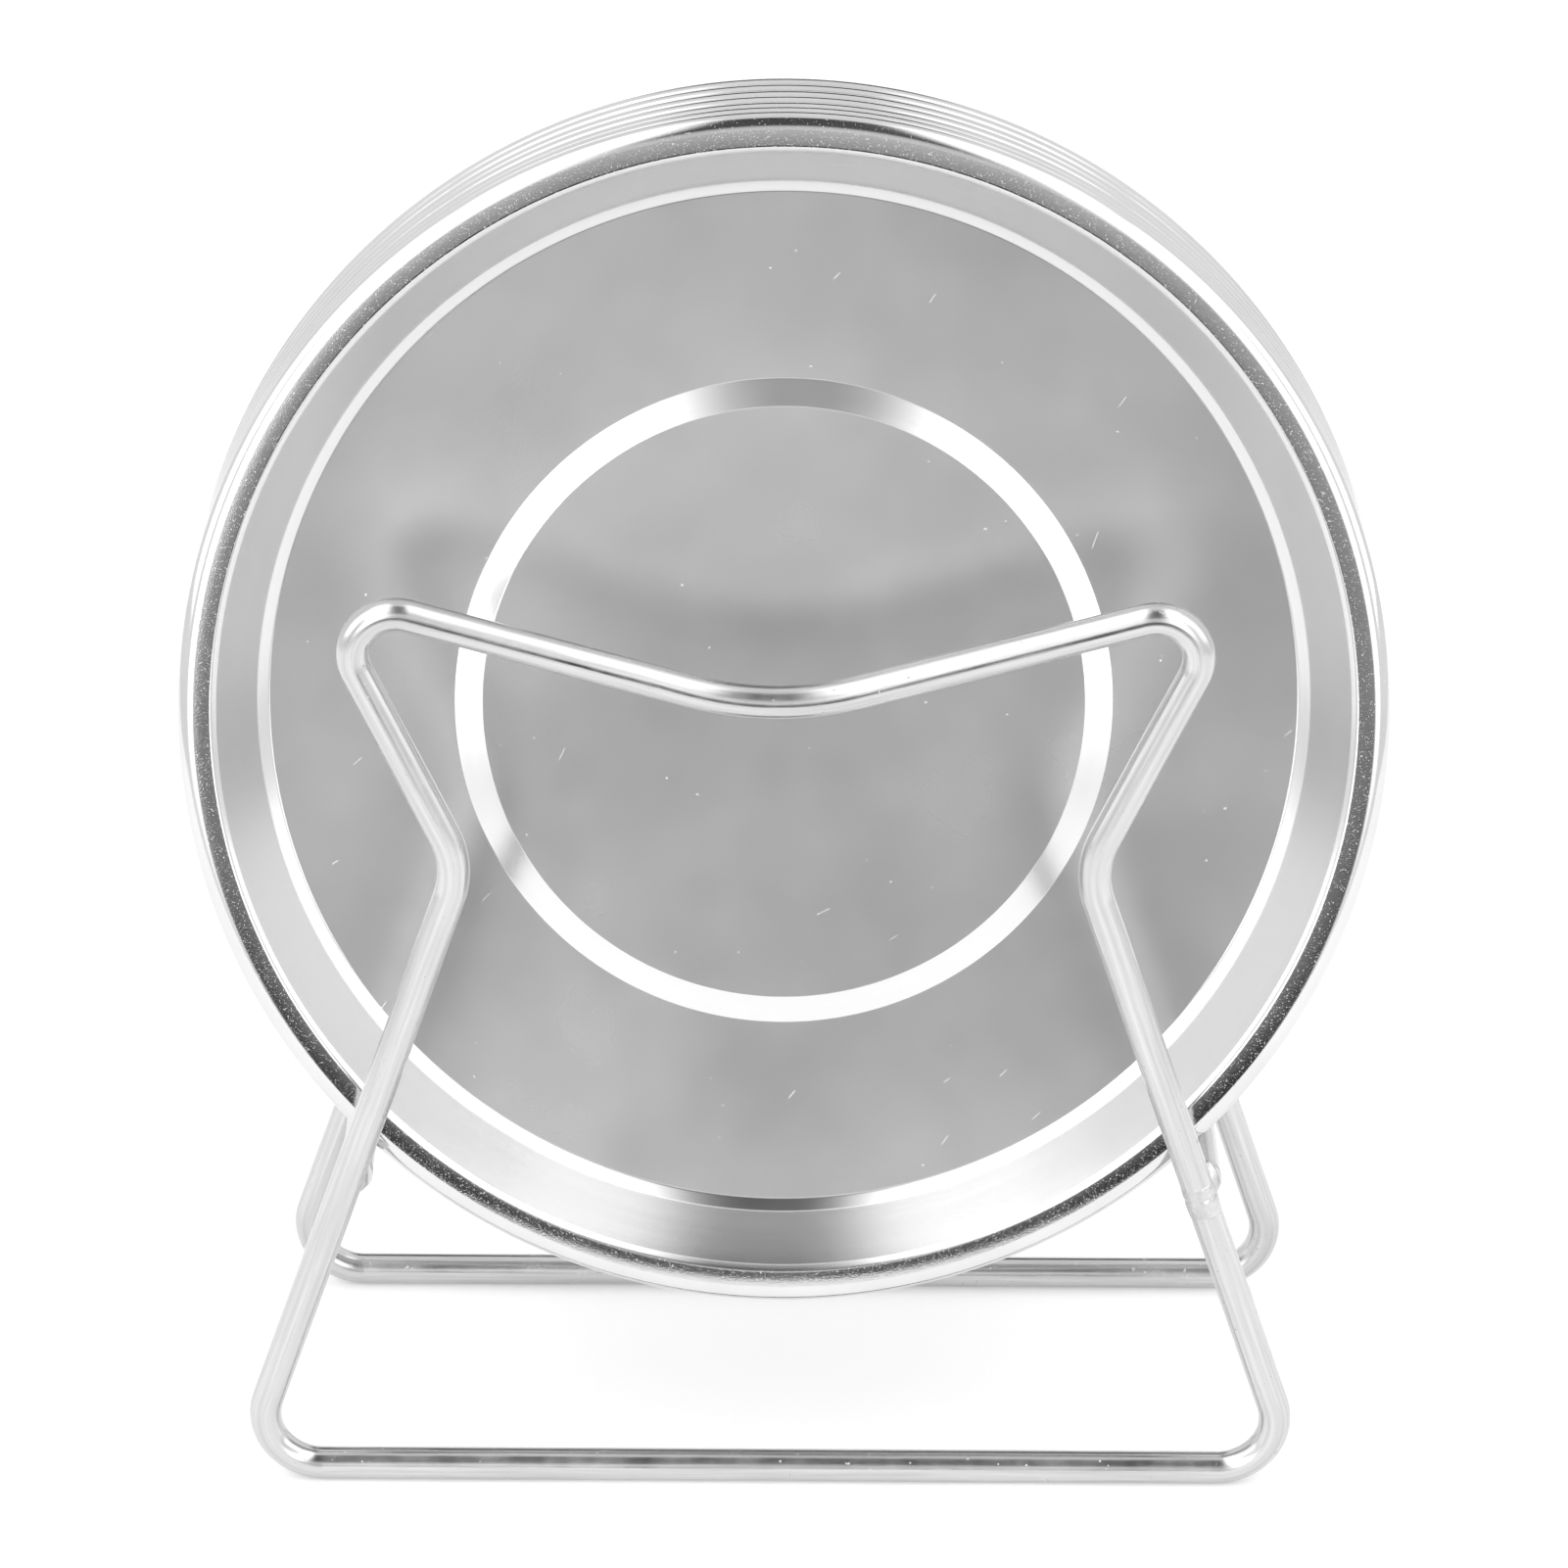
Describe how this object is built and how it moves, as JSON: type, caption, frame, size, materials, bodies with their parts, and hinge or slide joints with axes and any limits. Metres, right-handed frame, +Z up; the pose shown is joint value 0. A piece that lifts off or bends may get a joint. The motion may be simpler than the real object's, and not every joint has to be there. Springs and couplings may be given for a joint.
{
  "type": "plate stack in wire rack",
  "caption": "Round dished metal plates with turned-back rims, nested on edge and leaning back in a bent-wire stand with two support rails.",
  "frame": {"origin": "middle of the base, on the surface that the rack stands on", "axes": "+Z up, -Y the way the plates' dished faces look, +X to the right of someone facing them"},
  "size_m": [0.2, 0.0753, 0.2278],
  "materials": {
    "plated_wire": "bright plated wire",
    "satin_steel": "satin floor with polished rim"
  },
  "bodies": {
    "rack": {"front_frame": "plated_wire", "rear_frame": "plated_wire", "left_rail": "plated_wire", "right_rail": "plated_wire"},
    "plate_1": {"plate_1": "satin_steel"},
    "plate_2": {"plate_2": "satin_steel"},
    "plate_3": {"plate_3": "satin_steel"},
    "plate_4": {"plate_4": "satin_steel"},
    "plate_5": {"plate_5": "satin_steel"},
    "plate_6": {"plate_6": "satin_steel"},
    "plate_7": {"plate_7": "satin_steel"}
  },
  "joints": [
    {"name": "plate_1_lift", "type": "slide", "parent": "rack", "child": "plate_1", "axis": [0, 0.2113, 0.9774], "range_m": [0, 0.14]},
    {"name": "plate_2_lift", "type": "slide", "parent": "rack", "child": "plate_2", "axis": [0, 0.2113, 0.9774], "range_m": [0, 0.14]},
    {"name": "plate_3_lift", "type": "slide", "parent": "rack", "child": "plate_3", "axis": [0, 0.2113, 0.9774], "range_m": [0, 0.14]},
    {"name": "plate_4_lift", "type": "slide", "parent": "rack", "child": "plate_4", "axis": [0, 0.2113, 0.9774], "range_m": [0, 0.14]},
    {"name": "plate_5_lift", "type": "slide", "parent": "rack", "child": "plate_5", "axis": [0, 0.2113, 0.9774], "range_m": [0, 0.14]},
    {"name": "plate_6_lift", "type": "slide", "parent": "rack", "child": "plate_6", "axis": [0, 0.2113, 0.9774], "range_m": [0, 0.14]},
    {"name": "plate_7_lift", "type": "slide", "parent": "rack", "child": "plate_7", "axis": [0, 0.2113, 0.9774], "range_m": [0, 0.14]}
  ],
  "couplings": [
    {"joint": "plate_1_lift", "follows": "plate_7_lift", "ratio": 1},
    {"joint": "plate_2_lift", "follows": "plate_7_lift", "ratio": 1},
    {"joint": "plate_3_lift", "follows": "plate_7_lift", "ratio": 1},
    {"joint": "plate_4_lift", "follows": "plate_7_lift", "ratio": 1},
    {"joint": "plate_5_lift", "follows": "plate_7_lift", "ratio": 1},
    {"joint": "plate_6_lift", "follows": "plate_7_lift", "ratio": 1}
  ]
}
